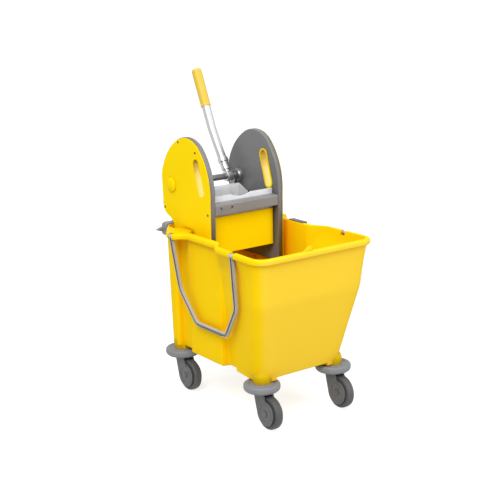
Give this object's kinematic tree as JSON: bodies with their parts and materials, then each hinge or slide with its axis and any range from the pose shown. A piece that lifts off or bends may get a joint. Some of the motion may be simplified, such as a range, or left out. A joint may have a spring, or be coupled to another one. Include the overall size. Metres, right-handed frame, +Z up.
{
  "type": "wheeled mop bucket with wringer",
  "caption": "Yellow plastic mop bucket on swivel casters with round bumpers, bail handles and a lift-out lever-press wringer with a hinged press plate.",
  "frame": {"origin": "on the floor, under the middle of the overall box", "axes": "+Z up; the open front of the bucket faces -Y, the wringer and its lever are at +Y, and the lever stands on the +X side"},
  "size_m": [0.331, 0.5474, 0.7417],
  "materials": {
    "yellow_plastic": "satin",
    "yellow_grip": "satin",
    "grey_plastic": "matt",
    "light_grey_plastic": "satin",
    "bail_plastic": "satin",
    "bumper_rubber": "matt",
    "tyre_rubber": "matt",
    "wheel_plastic": "matt",
    "zinc_steel": "zinc plated",
    "dark_steel": "black",
    "lever_aluminium": "satin"
  },
  "bodies": {
    "bucket": {"bucket": "yellow_plastic", "bail_pins": "zinc_steel", "rim_clip": "grey_plastic", "bumper_front_left": "bumper_rubber", "bumper_front_right": "bumper_rubber", "bumper_back_left": "bumper_rubber", "bumper_back_right": "bumper_rubber", "stem_front_left": "zinc_steel", "stem_front_right": "zinc_steel", "stem_back_left": "zinc_steel", "stem_back_right": "zinc_steel"},
    "wringer": {"side_frame_left": "grey_plastic", "side_frame_right": "grey_plastic", "outer_cover_left": "yellow_plastic", "outer_cover_right": "yellow_plastic", "slot_bezel_left": "yellow_plastic", "slot_bezel_right": "yellow_plastic", "cover_screws": "dark_steel", "crossbar": "grey_plastic", "front_panel": "yellow_plastic", "front_plate": "light_grey_plastic", "drain_sieve": "grey_plastic", "press_hinge_pin": "zinc_steel", "return_spring": "zinc_steel", "shaft_bush_left": "dark_steel", "shaft_bush_right": "dark_steel", "hanger_bracket": "grey_plastic"},
    "lever": {"shaft": "dark_steel", "push_arm_left": "dark_steel", "push_arm_right": "dark_steel", "lever_socket": "zinc_steel", "socket_bolt": "zinc_steel", "lever_tube": "lever_aluminium", "lever_grip": "yellow_grip"},
    "press": {"press_plate": "light_grey_plastic"},
    "bail_left": {"bail_left": "bail_plastic"},
    "bail_right": {"bail_right": "bail_plastic"},
    "caster_front_left": {"fork_front_left": "wheel_plastic", "axle_front_left": "zinc_steel"},
    "wheel_front_left": {"hub_front_left": "wheel_plastic", "tyre_front_left": "tyre_rubber"},
    "caster_front_right": {"fork_front_right": "wheel_plastic", "axle_front_right": "zinc_steel"},
    "wheel_front_right": {"hub_front_right": "wheel_plastic", "tyre_front_right": "tyre_rubber"},
    "caster_back_left": {"fork_back_left": "wheel_plastic", "axle_back_left": "zinc_steel"},
    "wheel_back_left": {"hub_back_left": "wheel_plastic", "tyre_back_left": "tyre_rubber"},
    "caster_back_right": {"fork_back_right": "wheel_plastic", "axle_back_right": "zinc_steel"},
    "wheel_back_right": {"hub_back_right": "wheel_plastic", "tyre_back_right": "tyre_rubber"}
  },
  "joints": [
    {"name": "bail_left_swing", "type": "hinge", "parent": "bucket", "child": "bail_left", "pos_m": [-0.1599, -0.0564, 0.39125], "axis": [0, 1, 0], "range_deg": [0, 185]},
    {"name": "bail_right_swing", "type": "hinge", "parent": "bucket", "child": "bail_right", "pos_m": [0.1599, -0.0564, 0.39125], "axis": [0, -1, 0], "range_deg": [0, 185]},
    {"name": "swivel_front_left", "type": "hinge", "parent": "bucket", "child": "caster_front_left", "pos_m": [-0.1023, -0.197, 0.08], "axis": [0, 0, 1], "continuous": true},
    {"name": "roll_front_left", "type": "hinge", "parent": "caster_front_left", "child": "wheel_front_left", "pos_m": [-0.1023, -0.2248, 0.038], "axis": [1, 0, 0], "continuous": true},
    {"name": "swivel_front_right", "type": "hinge", "parent": "bucket", "child": "caster_front_right", "pos_m": [0.1023, -0.197, 0.08], "axis": [0, 0, 1], "continuous": true},
    {"name": "roll_front_right", "type": "hinge", "parent": "caster_front_right", "child": "wheel_front_right", "pos_m": [0.1023, -0.2248, 0.038], "axis": [1, 0, 0], "continuous": true},
    {"name": "swivel_back_left", "type": "hinge", "parent": "bucket", "child": "caster_back_left", "pos_m": [-0.1023, 0.1156, 0.08], "axis": [0, 0, 1], "continuous": true},
    {"name": "roll_back_left", "type": "hinge", "parent": "caster_back_left", "child": "wheel_back_left", "pos_m": [-0.1023, 0.0878, 0.038], "axis": [1, 0, 0], "continuous": true},
    {"name": "swivel_back_right", "type": "hinge", "parent": "bucket", "child": "caster_back_right", "pos_m": [0.1023, 0.1156, 0.08], "axis": [0, 0, 1], "continuous": true},
    {"name": "roll_back_right", "type": "hinge", "parent": "caster_back_right", "child": "wheel_back_right", "pos_m": [0.1023, 0.0878, 0.038], "axis": [1, 0, 0], "continuous": true},
    {"name": "wringer_lift", "type": "slide", "parent": "bucket", "child": "wringer", "axis": [0, 0, 1], "range_m": [0, 0.3]},
    {"name": "lever_swing", "type": "hinge", "parent": "wringer", "child": "lever", "pos_m": [0, 0.1378, 0.492], "axis": [-1, 0, 0], "range_deg": [0, 60], "stiffness_Nm_per_rad": 0.3, "springref_deg": -60.16},
    {"name": "press_swing", "type": "hinge", "parent": "wringer", "child": "press", "pos_m": [0, 0.0898, 0.347], "axis": [1, 0, 0], "range_deg": [0, 27]}
  ],
  "couplings": [
    {"joint": "press_swing", "follows": "lever_swing", "ratio": 0.45}
  ]
}
